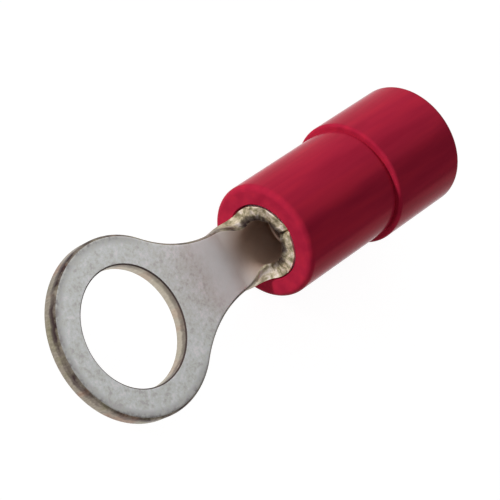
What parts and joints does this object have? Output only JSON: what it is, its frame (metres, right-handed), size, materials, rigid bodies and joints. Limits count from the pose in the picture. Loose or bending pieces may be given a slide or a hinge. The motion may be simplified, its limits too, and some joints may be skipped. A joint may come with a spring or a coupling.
{
  "type": "insulated ring terminal",
  "caption": "Crimp ring terminal with a flat ring tongue for a stud, a rolled wire barrel and a stepped vinyl insulating sleeve.",
  "frame": {"origin": "centre of the stud hole on the underside of the ring tongue", "axes": "+X along the wire, from the stud hole to the wire entry; +Z along the stud, out of the tongue's upper face, on the side where the barrel's seam is"},
  "size_m": [0.0224, 0.008, 0.0058],
  "materials": {
    "tinned_copper": "tin plated, satin, with warmer sheared edges",
    "red_vinyl": "moulded, glossy"
  },
  "bodies": {
    "root": {"terminal_body": "tinned_copper", "insulating_sleeve": "red_vinyl"}
  },
  "joints": []
}
